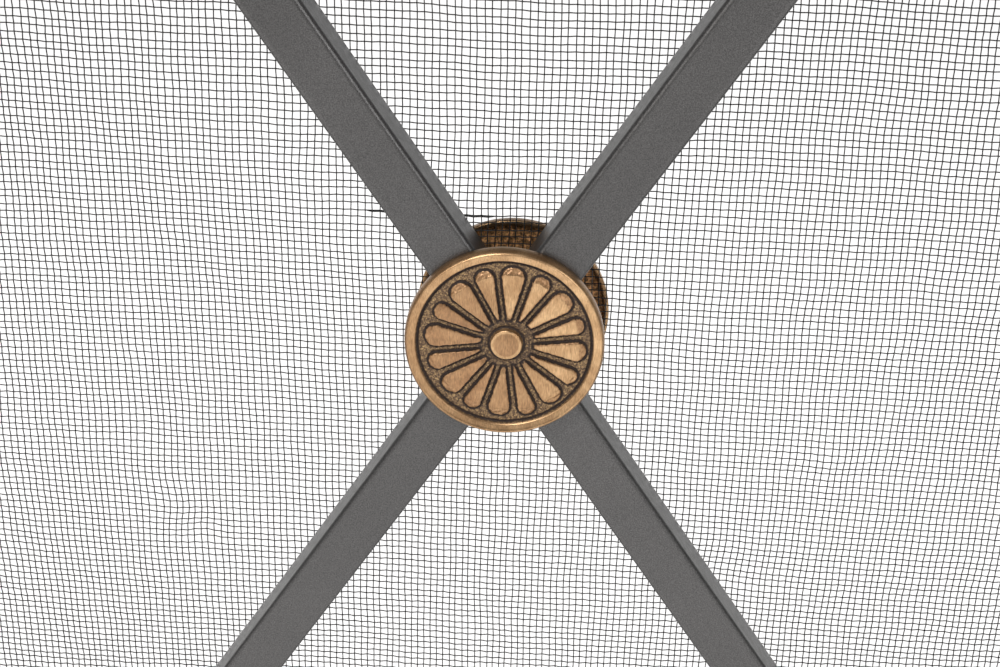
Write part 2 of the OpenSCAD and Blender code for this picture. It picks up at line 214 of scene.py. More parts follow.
OILED_STEEL = make_dark_metal("oil_rubbed_steel", (0.022, 0.019, 0.017), (0.075, 0.062, 0.052),
                              160.0, 0.8, (0.34, 0.55))
BLACK_STEEL = make_dark_metal("blackened_screw_steel", (0.018, 0.017, 0.016),
                              (0.060, 0.056, 0.052), 300.0, 0.85, (0.30, 0.48))
COATED_WIRE = make_dark_metal("black_coated_wire", (0.012, 0.012, 0.012), (0.040, 0.038, 0.036),
                              90.0, 0.35, (0.38, 0.60))
print("dark metals:", ", ".join(metal.name for metal in (OILED_STEEL, BLACK_STEEL, COATED_WIRE)))

# %% [markdown]
# ## Aged brass
# The castings were dipped in a dark patina and then rubbed by hand: what stands proud is
# bright, and what lies low stays dark. Shading by curvature would need a very dense mesh, so
# the casting's own mesh carries a number instead, from 0 on rubbed metal to 1 in a crease,
# and on the rim's rolled outer side it also holds painted shade. Noise breaks its edge up,
# because no hand rubs evenly. Two more numbers mark the stippled ground (`field`) and a
# warmer, darker brown, the tone. That brown is partly the metal's own and partly painted
# shade on the left of the face and on the upper petals' rolled ends; in the rear hollow it
# is a brightened, mottled colour painted to stand in for the light that reaches it.

# %% Brass
def make_aged_brass():
    made, tree, shader = material("aged_brass")
    place = add(tree, "ShaderNodeTexCoord").outputs["Object"]

    def carried(label):
        return add(tree, "ShaderNodeAttribute", attribute_name=label).outputs["Fac"]

    def times(value, factor):
        return maths(tree, "ShaderNodeMath", "MULTIPLY", value, factor)

    def hatch(turn):
        turned = add(tree, "ShaderNodeMapping", {"Vector": place, "Rotation": turn,
                                                 "Scale": (1.0, 1.0, 0.16)}).outputs["Vector"]
        return noise(tree, turned, 3600.0, 2.0, 0.6).outputs["Fac"]

    patina_and_shade, field, tone_and_shade = carried("patina_and_shade"), carried("field"), carried("tone_and_shade")
    cloud = noise(tree, place, 150.0, 4.0, 0.6).outputs["Fac"]
    grit = noise(tree, place, 1300.0, 3.0, 0.7).outputs["Fac"]
    stipple = noise(tree, place, 1700.0, 2.0, 0.8).outputs["Fac"]
    strokes = mix(tree, 0.5, hatch((0.0, 0.95, 0.0)), hatch((0.0, -0.60, 0.0)))
    rubbed = ramp(tree, cloud, (0.30, (0.34, 0.200, 0.098)), (0.52, (0.47, 0.296, 0.154)),
                  (0.74, (0.65, 0.435, 0.240)))
    warm = ramp(tree, cloud, (0.30, (0.17, 0.080, 0.032)), (0.75, (0.30, 0.158, 0.068)))
    # painted light: in the rear hollow, where the tone number is near 1, the warm brown is multiplied up, some
    # specks past what metal can reflect, standing in for light reaching the recess; the mottle itself is the
    # metal's own
    cast = ramp(tree, noise(tree, place, 750.0, 3.0, 0.7).outputs["Fac"], (0.36, 0.45),
                (0.50, 2.6), (0.64, 7.0))
    warm = mix(tree, maths(tree, "ShaderNodeMath", "POWER", tone_and_shade, 14.0), warm,
               mix(tree, 1.0, warm, cast, "MULTIPLY"))
    # painted shade and real tone: where the tone number is high the bright brass gives way to the warm brown
    rubbed = mix(tree, tone_and_shade, rubbed, warm)
    rubbed = mix(tree, 1.0, rubbed, ramp(tree, strokes, (0.36, 0.72), (0.64, 1.26)), "MULTIPLY")
    ground = ramp(tree, stipple, (0.36, (0.060, 0.033, 0.018)), (0.50, (0.130, 0.076, 0.038)),
                  (0.68, (0.40, 0.26, 0.115)))
    base = mix(tree, field, rubbed, ground)
    ragged = times(maths(tree, "ShaderNodeMath", "SUBTRACT", grit, 0.5), 1.3)
    dark = ramp(tree, maths(tree, "ShaderNodeMath", "ADD", patina_and_shade, ragged), (0.30, 0.0),
                (0.72, 1.0))
    tree.links.new(mix(tree, dark, base, (0.023, 0.012, 0.008)), shader.inputs["Base Color"])
    rough = mix(tree, dark, ramp(tree, cloud, (0.3, 0.27), (0.7, 0.38)), (0.66, 0.66, 0.66))
    tree.links.new(rough, shader.inputs["Roughness"])
    dull = maths(tree, "ShaderNodeMath", "MAXIMUM", dark, times(field, 0.75))
    dull = maths(tree, "ShaderNodeMath", "MAXIMUM", dull, times(tone_and_shade, tone_and_shade))
    tree.links.new(ramp(tree, dull, (0.0, 0.90), (1.0, 0.25)), shader.inputs["Metallic"])
    hammered = bump(tree, stipple, times(field, 0.8), 0.00040)
    filed = bump(tree, strokes, 0.30, 0.00016, hammered)
    tree.links.new(bump(tree, grit, 0.14, 0.00012, filed), shader.inputs["Normal"])
    return made


AGED_BRASS = make_aged_brass()
print(AGED_BRASS.name, "has", len(AGED_BRASS.node_tree.nodes), "nodes")

# %% [markdown]
# ## Finishes on the fixed solids
# Tubes, clamp strips, hinges and studs already have their exact shape, so they keep their CAD
# mesh and only receive a finish, picked by the slot that the record gives each node.

# %% Dress the solids
FINISHES = {"frame_paint": POWDER_COAT, "wire": COATED_WIRE, "aged_brass": AGED_BRASS,
            "hinge_steel": OILED_STEEL, "screw_steel": BLACK_STEEL}
SLOT_OF = {part["node"]: part["material_slot"] for part in frame["record"]["subparts"]}
for node_name, solid in frame["nodes"].items():
    solid.data.materials.clear()
    solid.data.materials.append(FINISHES[SLOT_OF[node_name]])
print(len(SLOT_OF), "solids dressed in", len(FINISHES), "finishes")


def finished(name, mesh, panel, made_of, slot, *replaced):
    """Turns a mesh in a panel's own frame into a finished piece that rides on the panel."""
    mesh.transform(PLACE[panel])
    mesh.materials.clear()
    mesh.materials.append(made_of)
    piece = bpy.data.objects.new(name, mesh)
    bpy.context.scene.collection.objects.link(piece)
    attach(piece, PANELS[panel])
    if replaced:
        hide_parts(*replaced)
    return piece


# %% [markdown]
# ## The woven wire, by Geometry Nodes
# A plain weave is a rule: every crossing wire goes over one and under the next. So it suits
# Geometry Nodes. A Grid gives the crossings, deleting the edges across it leaves a set of
# parallel wires, and Curve to Mesh gives them a body. One tree serves both sets: a switch
# stands the wires upright, and the crimp's sign sends the two sets to opposite sides.
# Real cloth is never even: it is stretched by hand, so the same slack is added to both sets
# of wires. It leans, it drifts in slow waves, each wire sits a little high or low, and it
# fades out at the frame, where the strips clamp it.

# %% Cloth values
WIRE_R = 0.22 * MM
PITCH_X = 2.16 * MM
PITCH_Z = 2.294 * MM
CLOTH_Y = (CLOTH_FRONT + CLOTH_BACK) / 2
SLACK = {
    "Lean": 0.0248,              # how far the level wires drop to the right
    "Tilt": 0.0141,              # how far the upright wires lean
    "Slow Wave": 3.8 * MM,
    "Slow Length": 85.0 * MM,
    "Quick Wave": 0.95 * MM,
    "Quick Length": 14.0 * MM,
    "Wire Jitter": 0.17 * MM,
    "Bulge": 1.6 * MM,
    "Edge Fade": 42.0 * MM,
}
DENTS = [                        # place on the cloth, reach and push, all in mm
    ((-109, 0, -73), 7, (0.9, 0, -1.0)),
    ((-98, 0, -83), 5, (-0.3, 0, 0.9)),
    ((-116, 0, -40), 12, (0.8, 0, 0.6)),
    ((70, 0, -92), 11, (-0.5, 0, 1.2)),
    ((104, 0, -44), 8, (0.5, 0, -0.8)),
    ((121, 0, 20), 13, (-0.7, 0, 0.7)),
    ((-60, 0, 62), 12, (0.5, 0, -0.5)),
]
SPLICE = (-43 * MM, -5 * MM, 32.7 * MM)      # from, to and above the crossing
NOISE_STEP = 1.7                 # sets the slack of the three cloths apart
print(f"wire {2000 * WIRE_R:.2f} mm thick in a cloth {1000 * (CLOTH_BACK - CLOTH_FRONT):.2f} mm deep")


# %% Tree helpers
def new_tree(name, inputs):
    """A Geometry Nodes tree with the given inputs, and its group input and output nodes."""
    tree = bpy.data.node_groups.new(name, "GeometryNodeTree")
    for label, value in inputs.items():
        kind = "NodeSocketMaterial" if value is None else (
            "NodeSocketInt" if isinstance(value, int) else "NodeSocketFloat")
        socket = tree.interface.new_socket(label, in_out="INPUT", socket_type=kind)
        if value is not None:
            socket.default_value = value
    tree.interface.new_socket("Geometry", in_out="OUTPUT", socket_type="NodeSocketGeometry")
    return tree, tree.nodes.new("NodeGroupInput").outputs, tree.nodes.new("NodeGroupOutput")


def grown(name, tree, settings):
    """Runs a tree on an empty mesh and returns the result as a plain mesh."""
    host = bpy.data.objects.new(name, bpy.data.meshes.new(name))
    bpy.context.scene.collection.objects.link(host)
    modifier = host.modifiers.new(name, "NODES")
    modifier.node_group = tree
    for item in tree.interface.items_tree:
        if item.item_type == "SOCKET" and item.in_out == "INPUT" and item.name in settings:
            modifier[item.identifier] = settings[item.name]
    evaluated = host.evaluated_get(bpy.context.evaluated_depsgraph_get())
    mesh = bpy.data.meshes.new_from_object(evaluated)
    bpy.data.objects.remove(host)
    return mesh


# %% [markdown]
# ### Slack
# These nodes take a wire's flat place on the panel and return its real one. The fade comes
# from the distance to the nearest edge. The dents are the few places where the cloth was
# pushed, listed one by one.

# %% Slack nodes
def vector_length(tree, value):
    return add(tree, "ShaderNodeVectorMath", {"Vector": value}, operation="LENGTH").outputs[1]


def slack_nodes(tree, knob, flat, number, crimp):
    """Moves a flat place (x, 0, z) of wire `number` to its place in the slack cloth."""
    def one(operation, *values):
        return maths(tree, "ShaderNodeMath", operation, *values)

    def vector(operation, *values):
        return maths(tree, "ShaderNodeVectorMath", operation, *values)

    def scaled(value, factor):
        return add(tree, "ShaderNodeVectorMath", {"Vector": value, "Scale": factor},
                   operation="SCALE").outputs[0]

    def room(value, size):
        return one("SUBTRACT", one("MULTIPLY", size, 0.5), one("ABSOLUTE", value))

    axis = add(tree, "ShaderNodeSeparateXYZ", {"Vector": flat}).outputs
    nearest = one("MINIMUM", room(axis["X"], knob["Width"]), room(axis["Z"], knob["Height"]))
    fade = add(tree, "ShaderNodeMapRange", {"Value": nearest, "From Min": 0.0,
               "From Max": knob["Edge Fade"]}, interpolation_type="SMOOTHSTEP").outputs[0]
    lean = add(tree, "ShaderNodeCombineXYZ", {
        "X": one("MULTIPLY", axis["Z"], knob["Tilt"]),
        "Z": one("MULTIPLY", axis["X"], one("MULTIPLY", knob["Lean"], -1.0))}).outputs[0]
    push = lean
    for size, length in (("Slow Wave", "Slow Length"), ("Quick Wave", "Quick Length")):
        place = vector("ADD", scaled(flat, one("DIVIDE", 1.0, knob[length])), knob["Shift"])
        wave = add(tree, "ShaderNodeTexNoise", {"Vector": place, "Scale": 1.0, "Detail": 0.5})
        spread = vector("SUBTRACT", wave.outputs["Color"], (0.5, 0.5, 0.5))
        push = vector("ADD", push, scaled(spread, knob[size]))
    for place, reach, shove in DENTS:
        away = one("DIVIDE", vector_length(tree, vector("SUBTRACT", flat,
                                                        Vector(place) * MM)), reach * MM)
        near = one("EXPONENT", one("MULTIPLY", one("MULTIPLY", away, away), -1.0))
        push = vector("ADD", push, scaled(tuple(Vector(shove) * MM),
                                          one("MULTIPLY", near, knob["Dents"])))
    push = vector("MULTIPLY", push, (1.0, 0.0, 1.0))
    off = add(tree, "FunctionNodeRandomValue", {2: -1.0, 3: 1.0, "ID": number, "Seed": 7},
              data_type="FLOAT").outputs[1]
    off = one("MULTIPLY", off, knob["Wire Jitter"])
    aside = add(tree, "ShaderNodeCombineXYZ", {
        "X": one("MULTIPLY", off, knob["Upright"]),
        "Z": one("MULTIPLY", off, one("SUBTRACT", 1.0, knob["Upright"]))}).outputs[0]
    belly = add(tree, "ShaderNodeTexNoise", {"Vector": scaled(flat, 9.0), "Scale": 1.0})
    belly = one("MULTIPLY", one("MULTIPLY", belly.outputs["Fac"], knob["Bulge"]), fade)
    back = one("ADD", one("ADD", belly, crimp), knob["Depth"])
    depth = add(tree, "ShaderNodeCombineXYZ", {"Y": back}).outputs[0]
    return vector("ADD", vector("ADD", flat, depth), scaled(vector("ADD", push, aside), fade))


# %% [markdown]
# ### The wire tree
# `Points` are the crossings along a wire and `Wires` the wires in this band of cloth. Their
# sum at a crossing is odd or even, and that alone says which wire lies in front. One level
# wire is spliced: where it ran out on the loom, the next was laid in beside it, so the line
# is thicker for a short stretch. The thickness is stored on the flat grid, where the wires
# can still be counted, and scales the profile.

# %% Wire tree
def make_wire_tree():
    inputs = {"Width": 0.5, "Height": 0.7, "Depth": 0.0, "Upright": 0.0, "Start": 0.0,
              "Pitch Along": PITCH_X, "Pitch Across": PITCH_Z, "Points": 200, "Wires": 60,
              "First Point": 0.0, "First Wire": 0.0, "Wire Radius": WIRE_R, "Crimp": WIRE_R,
              "Sides": 3, "Shift": 0.0, "Dents": 1.0, **SLACK, "Splice Wire": -1.0,
              "Splice From": 0.0, "Splice To": 0.0, "Wire": None}
    tree, knob, out = new_tree("woven_wires", inputs)

    def one(operation, *values):
        return maths(tree, "ShaderNodeMath", operation, *values)

    def span(count, pitch):
        return one("MULTIPLY", one("SUBTRACT", knob[count], 1.0), knob[pitch])

    grid = add(tree, "GeometryNodeMeshGrid", {
        "Size X": span("Points", "Pitch Along"), "Size Y": span("Wires", "Pitch Across"),
        "Vertices X": knob["Points"], "Vertices Y": knob["Wires"]}).outputs["Mesh"]
    ends = add(tree, "GeometryNodeInputMeshEdgeVertices").outputs
    rise = maths(tree, "ShaderNodeVectorMath", "SUBTRACT", ends["Position 1"],
                 ends["Position 2"])
    rise = add(tree, "ShaderNodeSeparateXYZ", {"Vector": rise}).outputs["Y"]
    across = one("GREATER_THAN", one("ABSOLUTE", rise), 1e-6)
    wires = add(tree, "GeometryNodeDeleteGeometry", {"Geometry": grid, "Selection": across},
                domain="EDGE", mode="EDGE_FACE").outputs["Geometry"]
    place = add(tree, "ShaderNodeSeparateXYZ", {
        "Vector": add(tree, "GeometryNodeInputPosition").outputs[0]}).outputs

    def count_of(value, total, pitch, first):
        from_start = one("ADD", value, one("MULTIPLY", span(total, pitch), 0.5))
        return one("ADD", one("ROUND", one("DIVIDE", from_start, knob[pitch])), knob[first])

    point = count_of(place["X"], "Points", "Pitch Along", "First Point")
    wire = count_of(place["Y"], "Wires", "Pitch Across", "First Wire")

    def middled(number, upright_size, level_size, pitch):
        size = add(tree, "ShaderNodeMix", {"Factor": knob["Upright"], "A": knob[level_size],
                                           "B": knob[upright_size]}).outputs[0]
        return one("SUBTRACT", one("MULTIPLY", number, knob[pitch]),
                   one("MULTIPLY", size, 0.5))

    along = one("ADD", middled(point, "Height", "Width", "Pitch Along"), knob["Start"])
    beside = middled(wire, "Width", "Height", "Pitch Across")
    level = add(tree, "ShaderNodeCombineXYZ", {"X": along, "Z": beside}).outputs[0]
    upright = add(tree, "ShaderNodeCombineXYZ", {"X": beside, "Z": along}).outputs[0]
    flat = add(tree, "ShaderNodeMix", {"Factor": knob["Upright"], 4: level, 5: upright},
               data_type="VECTOR").outputs[1]
    odd = one("FLOORED_MODULO", one("ADD", point, wire), 2.0)
    crimp = one("MULTIPLY", one("SUBTRACT", one("MULTIPLY", odd, 2.0), 1.0), knob["Crimp"])
    number = one("ADD", wire, one("MULTIPLY", knob["Upright"], 1000.0))
    bent = slack_nodes(tree, knob, flat, number, crimp)
    same = one("LESS_THAN", one("ABSOLUTE", one("SUBTRACT", wire, knob["Splice Wire"])), 0.5)
    within = one("MULTIPLY", one("GREATER_THAN", point, knob["Splice From"]),
                 one("LESS_THAN", point, knob["Splice To"]))
    thickness = one("ADD", 1.0, one("MULTIPLY", one("MULTIPLY", same, within), 1.1))
    wires = add(tree, "GeometryNodeStoreNamedAttribute", {
        "Geometry": wires, "Name": "thickness", "Value": thickness}).outputs[0]
    moved = add(tree, "GeometryNodeSetPosition", {"Geometry": wires, "Position": bent})
    lines = add(tree, "GeometryNodeMeshToCurve", {"Mesh": moved.outputs[0]}).outputs[0]
    stored = add(tree, "GeometryNodeInputNamedAttribute", {"Name": "thickness"}).outputs[0]
    ring = add(tree, "GeometryNodeCurvePrimitiveCircle",
               {"Resolution": knob["Sides"], "Radius": knob["Wire Radius"]}).outputs["Curve"]
    round_wire = add(tree, "GeometryNodeCurveToMesh", {
        "Curve": lines, "Profile Curve": ring, "Scale": stored,
        "Fill Caps": True}).outputs[0]
    whole = add(tree, "GeometryNodeRealizeInstances", {"Geometry": round_wire}).outputs[0]
    dressed = add(tree, "GeometryNodeSetMaterial",
                  {"Geometry": whole, "Material": knob["Wire"]}).outputs[0]
    tree.links.new(dressed, out.inputs["Geometry"])
    return tree


WIRE_TREE = make_wire_tree()
print("wire tree:", len(WIRE_TREE.nodes), "nodes")


# %% Cloth helpers
def cloth_size(panel):
    """Width and height of a panel's cloth; a wing's width is seen along its own slope."""
    corners = np.array([v.co for v in frame["nodes"][panel + "_wire_cloth"].data.vertices])
    local = corners @ np.array(PLACE[panel].to_3x3())
    return np.ptp(local[:, 0]), np.ptp(local[:, 2])


def bake_map(mesh):
    """A flat map of the cloth, seen from the front, kept as a UV map."""
    corners = np.empty(len(mesh.loops), np.int32)
    mesh.loops.foreach_get("vertex_index", corners)
    points = np.empty(len(mesh.vertices) * 3, np.float32)
    mesh.vertices.foreach_get("co", points)
    flat = points.reshape(-1, 3)[:, [0, 2]]
    flat = (flat - flat.min(0)) / np.ptp(flat, axis=0)
    mesh.uv_layers.new(name="OFBake").data.foreach_set("uv", flat[corners].ravel())


# %% [markdown]
# ### Weaving the three cloths
# Each set of wires is grown in bands, so that no single piece gets too heavy. On the wings
# the upright wires run straight and take a third of the points, and the level ones bend
# further instead. That keeps three cloths light enough to share.

# %% Weave
def weave(panel, shift):
    width, height = (float(size) - 2 * WIRE_R for size in cloth_size(panel))
    columns, rows = round(width / PITCH_X), round(height / PITCH_Z)
    across, up = width / (columns - 1), height / (rows - 1)
    shared = {"Width": width, "Height": height, "Depth": float(CLOTH_Y), "Shift": shift,
              "Dents": float(panel == "centre"), "Wire": COATED_WIRE}
    level = {"Upright": 0.0, "Pitch Along": across, "Pitch Across": up, "Points": columns}
    if panel == "centre":
        start, end, above = SPLICE
        level.update({"Splice Wire": float(round((height / 2 + above) / up)),
                      "Splice From": (width / 2 + start) / across,
                      "Splice To": (width / 2 + end) / across})
    upright = {"Upright": 1.0, "Pitch Along": up, "Pitch Across": across, "Points": rows,
               "Crimp": -WIRE_R}
    if panel != "centre":
        points = round((rows - 1) / 3) + 1
        upright.update({"Pitch Along": height / (points - 1), "Points": points, "Crimp": 0.0})
        level["Crimp"] = 1.6 * WIRE_R
    bands = 3 if panel == "centre" else 2
    faces = 0
    for name, total, own in (("weft", rows, level), ("warp", columns, upright)):
        edges = np.linspace(0, total, bands + 1).astype(int)
        for i, (start, end) in enumerate(zip(edges, edges[1:])):
            band = {**shared, **own, "First Wire": float(start), "Wires": int(end - start)}
            mesh = grown(f"{panel}_{name}_{i + 1}", WIRE_TREE, band)
            bake_map(mesh)
            finished(f"{panel}_{name}_{i + 1}", mesh, panel, COATED_WIRE, "wire",
                     panel + "_wire_cloth")
            faces += len(mesh.polygons)
    print(f"{panel}: {columns} upright and {rows} level wires, {faces} faces")


for number, panel_name in enumerate(PANELS):
    weave(panel_name, NOISE_STEP * number)

# %% [markdown]
# ## The rosettes
# A rosette is a small sand casting: a raised rim, a sunk and stippled field, sixteen petals in
# broad and slim pairs, and a button. Modelling each petal by hand would lose the casting's
# soft unity. It is closer to a relief, so its face is one height over a disc: every
# point asks how far it is from the nearest petal's outline and rises by that.
# The mesh is a lathe of rings whose face rings are lifted by this height, and whose back
# rings follow the hollow that the rear casting shows through the wire.

# %% Rosette values
PETALS = 16
PHASE = radians(84.8)            # the first broad petal, anticlockwise from the right
PETAL_TIP = 24.3 * MM
PETAL_CUT = 7.9 * MM             # where a petal fades out towards the button
BAND = 1.06 * MM                 # half the width of the dark band between two petals
SPREAD = (0.216, 0.177)          # slope of a broad petal's side, and of a slim one's
OFF_CENTRE = 0.65 * MM           # how far the pattern sits to the right in its rim
RIDGE_R = ROSETTE_R - 1.15 * MM
FIELD_R = RIDGE_R - 2.35 * MM
FIELD_Z = ROSETTE_H - 1.8 * MM
PETAL_Z = 1.2 * MM
BUTTON_R = 4.95 * MM
EDGE_W = 1.5 * MM
HOLLOW = 1.4 * MM
BOSS_R = 6.0 * MM
BORE_R = 2.55 * MM
BORE_END = FIELD_Z - 0.2 * MM
FINE = (512, 0.24 * MM)          # steps round and gap between rings, on the middle front casting
COARSE = (288, 0.42 * MM)        # the same on the other five
print(f"{PETALS} petals on a field of {2000 * FIELD_R:.1f} mm")


def smooth(low, high, value):
    t = np.clip((value - low) / (high - low), 0.0, 1.0)
    return t * t * (3.0 - 2.0 * t)


def hump(value, centre, spread):
    return np.exp(-((value - centre) / spread) ** 2)


# %% [markdown]
# ### Petals
# The band between two petals is about equally wide all the way. So a petal's sides are
# straight and lie half a band inside the radii that part it from the next. Its outer end
# follows the rim. Side and end are distances, so combining them with a rounded corner gives
# one distance to the whole outline.

# %% Petal outlines
def petal_distances(x, y, rng):
    """For each point: distance to the nearest petal's outline, negative inside it, distance
    to that petal's outer end, and that petal's own number."""
    nearest = np.full(x.shape, 1.0)
    end_of = np.full(x.shape, 1.0)
    owner = np.zeros(x.shape, int)
    for i in range(PETALS):
        angle = PHASE + i * tau / PETALS + radians(rng.uniform(-0.8, 0.8))
        slope = SPREAD[i % 2] * rng.uniform(0.93, 1.02)
        tip = PETAL_TIP + rng.uniform(-0.5, 0.2) * MM
        cut = PETAL_CUT + rng.uniform(-0.5, 0.9) * MM
        u = x * np.cos(angle) + y * np.sin(angle)
        v = np.abs(y * np.cos(angle) - x * np.sin(angle))
        side = np.maximum(v - slope * u + BAND, cut - u)
        end = np.hypot(u, v * 0.8) - tip
        corner = 0.93 * (slope * tip - BAND)
        distance = (np.minimum(np.maximum(side + corner, end + corner), 0.0) - corner
                    + np.hypot(np.maximum(side + corner, 0), np.maximum(end + corner, 0)))
        nearer = distance < nearest
        nearest = np.where(nearer, distance, nearest)
        end_of = np.where(nearer, end, end_of)
        owner = np.where(nearer, i, owner)
    return nearest, end_of, owner


# %% [markdown]
# ### The face
# The height is built up in turn: the field and its petals, then the groove and the rim, then
# the button. The same distances say where patina, field and warm tone lie; the direction
# round the face adds painted shade.
# Each petal has a steep flank, a long roll-off at its outer end and a small lip where the
# flat top starts, which is the line that catches the light.

# %% Rosette face
def face_relief(x, y, seed):
    """Height, patina, field and tone of the casting's face over points of a disc."""
    rng = np.random.default_rng(seed)
    r = np.hypot(x, y)
    px = x - OFF_CENTRE
    inner = np.hypot(px, y)
    gap, end, owner = petal_distances(px, y, rng)
    # hand-cut pattern: every outline wanders a little, and so does where the flat top starts
    wander = (np.sin(px / MM * 1.9 + 1.7 * np.sin(y / MM * 1.3)) * np.cos(y / MM * 2.2 + seed)
              + 0.6 * np.sin(px / MM * 4.1 + 2.0 * np.cos(y / MM * 3.3)))
    gap = gap + 0.08 * MM * wander
    end = end + 0.22 * MM * wander
    flank = smooth(-0.35 * MM, 0.30 * MM, -gap) * smooth(6.6 * MM, 10.5 * MM, inner)
    roll = 0.35 + 0.65 * smooth(0.3 * MM, 2.1 * MM, -end)
    lip = 0.12 * hump(end, -2.25 * MM, 0.25 * MM)
    tilt = rng.uniform(-0.05, 0.05, PETALS)[owner]
    top = 0.90 + tilt + lip - 0.10 * hump(inner, 14 * MM, 4 * MM)
    trench = 0.30 * MM * hump(gap, 0.36 * MM, 0.26 * MM)
    sand = 0.05 * MM * np.sin(px / MM * 3.1 + 2 * np.sin(y / MM * 2.3)) * np.cos(y / MM * 3.7)
    height = FIELD_Z + PETAL_Z * flank * roll * top - trench + sand * (gap > 0)
    height -= 0.25 * MM * hump(inner, BUTTON_R + 0.35 * MM, 0.5 * MM)
    # the rim: a groove, a wall, a face that tips inwards, a ridge and a rolled outer side
    height -= 0.25 * MM * hump(r, FIELD_R - 0.25 * MM, 0.3 * MM)
    wall = smooth(FIELD_R - 0.15 * MM, FIELD_R + 0.35 * MM, r)
    face = ROSETTE_H - 0.55 * MM * (RIDGE_R - r) / (RIDGE_R - FIELD_R)
    height = height + (face - height) * wall
    drop = np.clip((r - RIDGE_R) / (ROSETTE_R - RIDGE_R), 0, 1)
    rolled = ROSETTE_H - (1 - np.sqrt(1 - drop ** 2)) * ROSETTE_H * 0.52
    height = np.where(r > RIDGE_R, rolled, height)
    height -= 0.10 * MM * smooth(0.0, 0.35 * MM, np.abs(r - RIDGE_R)) * (r > FIELD_R)
    # the button: a rounded edge, a faint ring and a low dome inside it
    button = ROSETTE_H - 0.1 * MM - 0.22 * MM * smooth(0.98, 0.80, inner / BUTTON_R)
    button += 0.30 * MM * (1 - np.clip(inner / BUTTON_R / 0.80, 0, 1) ** 2)
    button = np.minimum(button, ROSETTE_H - 0.02 * MM)
    on_button = smooth(BUTTON_R + 0.1 * MM, BUTTON_R - 0.5 * MM, inner)
    height = height + (button - height) * on_button
    # patina gathers at the foot of every wall, and rubbing clears what stands proud
    foot = hump(gap, 0.27 * MM, 0.52 * MM)
    groove = hump(r, FIELD_R - 0.4 * MM, 0.55 * MM)
    collar = hump(inner, BUTTON_R + 0.35 * MM, 0.5 * MM)
    hub = 0.46 * smooth(11.5 * MM, 7.0 * MM, inner)
    patina_and_shade = np.maximum.reduce([foot, groove, collar, hub])
    petal_top = (gap < -0.15 * MM) & (inner > 8.5 * MM)
    rubbed = petal_top | (r > FIELD_R + 0.2 * MM) | (inner < BUTTON_R - 0.15 * MM)
    patina_and_shade = np.where(rubbed, 0.0, patina_and_shade)
    # painted shade: the rim's rolled outer side darkens towards its edge
    patina_and_shade = np.where(r > RIDGE_R, 0.30 * drop, patina_and_shade)
    field = smooth(-0.1 * MM, 0.2 * MM, gap) * (r < FIELD_R + 0.1 * MM) * (inner > BUTTON_R)
    # Tone: painted shade turns the petals on the left and the rolled ends of the upper petals a
    # warmer, darker brown; the petals' edges and a little warmth per petal are the metal's own
    upper = smooth(-12.0 * MM, 6.0 * MM, y)
    # painted shade: the rolled ends turn browner, more so on the upper petals
    ends = smooth(-2.3 * MM, -1.7 * MM, end) * (gap < 0) * (0.25 + 0.75 * upper)
    # painted shade: the petals towards the left are made browner
    left_petal_shade = 0.5 + 0.5 * np.cos(np.arange(PETALS) * tau / PETALS + PHASE - radians(205))
    tone_and_shade = np.where(gap < 0, (0.85 * left_petal_shade + rng.uniform(0.0, 0.15, PETALS))[owner], 0.0)
    tone_and_shade = np.maximum(tone_and_shade, 0.78 * ends)
    tone_and_shade = np.maximum(tone_and_shade, 0.80 * smooth(-0.75 * MM, -0.15 * MM, gap) * (gap < 0))
    tone_and_shade = np.minimum(tone_and_shade, 0.80)
    button_tone = 0.7 * smooth(0.80, 0.70, inner / BUTTON_R)
    tone_and_shade = np.where(inner < BUTTON_R, button_tone, tone_and_shade)
    # painted shade: the rim turns a darker brown on its left side and down its rolled outer side
    left_rim_shade = 0.5 + 0.5 * np.cos(np.arctan2(y, x) - radians(205))
    tone_and_shade = np.where(r > FIELD_R, 0.1 + 0.35 * left_rim_shade + 0.4 * drop, tone_and_shade)
    return height, patina_and_shade, field, tone_and_shade


# %% [markdown]
# ### From relief to closed casting
# The rings run from the middle of the face out to the rim, round the edge, into the hollow
# back, up the boss and into the stud's bore. Both ends of the run close on a pole, so the
# mesh is watertight.

# %% Rosette mesh
BACK_RUN = [                     # radius and height of the rings behind the rim
    (ROSETTE_R, 0.30 * ROSETTE_H), (ROSETTE_R, 0.06 * ROSETTE_H),
    (ROSETTE_R - 0.12 * MM, 0.01 * ROSETTE_H), (ROSETTE_R - 0.35 * MM, 0.0),
    (ROSETTE_R - EDGE_W * 0.8, 0.0), (ROSETTE_R - EDGE_W, 0.12 * MM),
    (ROSETTE_R - EDGE_W - 0.05 * MM, HOLLOW * 0.8), (ROSETTE_R - EDGE_W - 0.45 * MM, HOLLOW),
    (0.85 * ROSETTE_R, HOLLOW), (0.7 * ROSETTE_R, HOLLOW), (0.55 * ROSETTE_R, HOLLOW),
    (0.4 * ROSETTE_R, HOLLOW), (BOSS_R + 1.2 * MM, HOLLOW), (BOSS_R + 0.4 * MM, HOLLOW * 0.9),
    (BOSS_R, HOLLOW * 0.6), (BOSS_R, 0.1 * MM), (BOSS_R - 0.1 * MM, 0.0),
    (BORE_R + 0.1 * MM, 0.0), (BORE_R, 0.1 * MM), (BORE_R, BORE_END),
]


